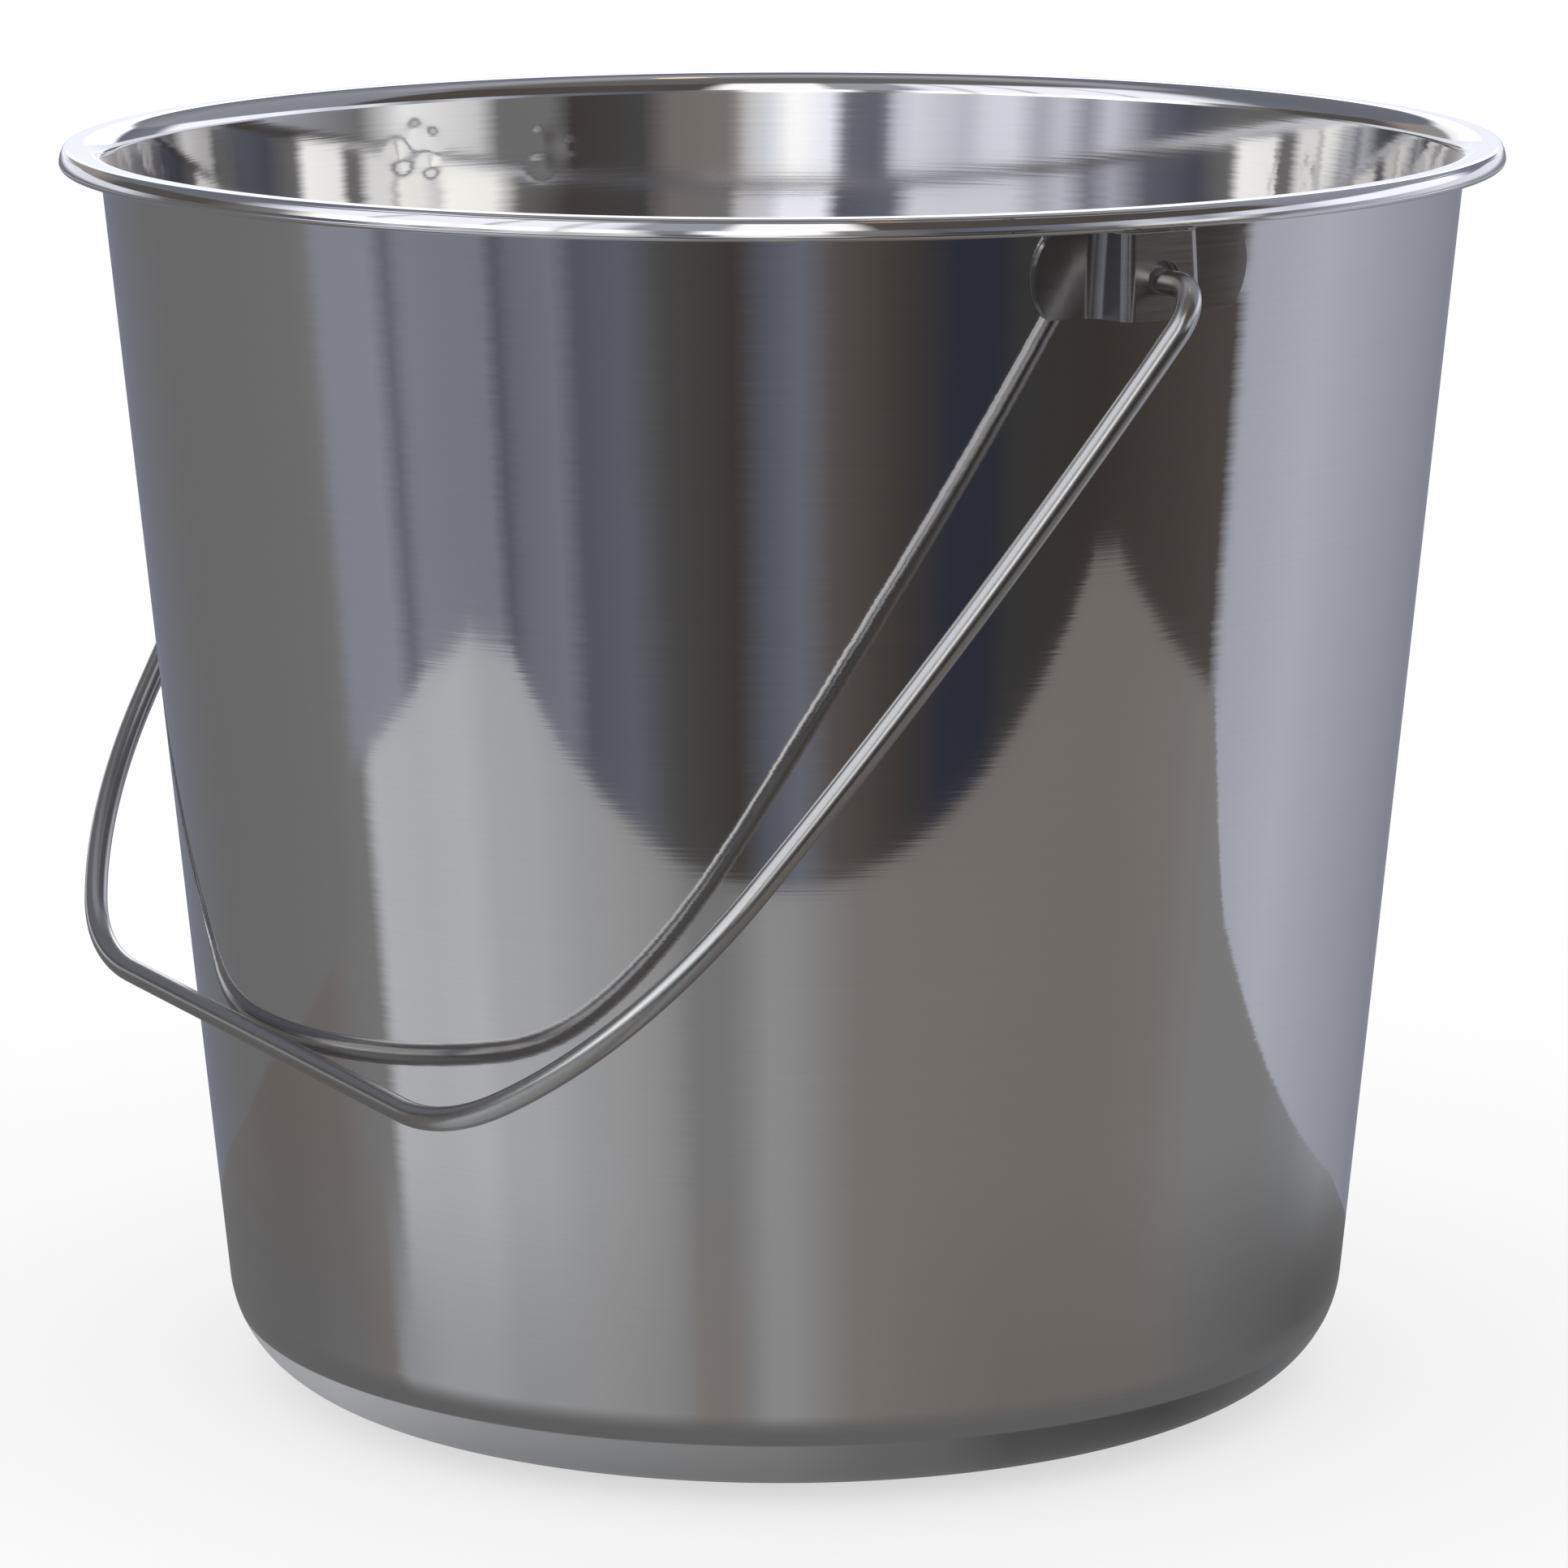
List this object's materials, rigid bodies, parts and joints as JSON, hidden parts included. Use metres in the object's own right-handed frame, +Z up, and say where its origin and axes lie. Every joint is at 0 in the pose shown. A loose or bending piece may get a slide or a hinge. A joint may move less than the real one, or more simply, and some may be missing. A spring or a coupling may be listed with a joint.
{
  "type": "milk pail",
  "caption": "Round tapered milk pail of bare stainless steel with a rolled rim and a swinging wire bail held in welded strap ears.",
  "frame": {"origin": "centre of the underside of the floor, on the pail's axis", "axes": "+Z up along the pail's axis, +X through the right ear along the bail's hinge line, the bail hangs towards -Y"},
  "size_m": [0.3199, 0.292, 0.254],
  "materials": {
    "body_steel": "polished stainless with fine turned streaks round the wall",
    "ear_steel": "pressed stainless strap, satin",
    "bail_steel": "drawn stainless wire, satin bright"
  },
  "bodies": {
    "pail": {"pail_body": "body_steel", "ear_right": "ear_steel", "ear_left": "ear_steel"},
    "bail": {"bail_handle": "bail_steel"}
  },
  "joints": [
    {"name": "bail_swing", "type": "hinge", "parent": "pail", "child": "bail", "pos_m": [0, 0, 0.2404], "axis": [-1, 0, 0], "range_deg": [0, 283]}
  ]
}
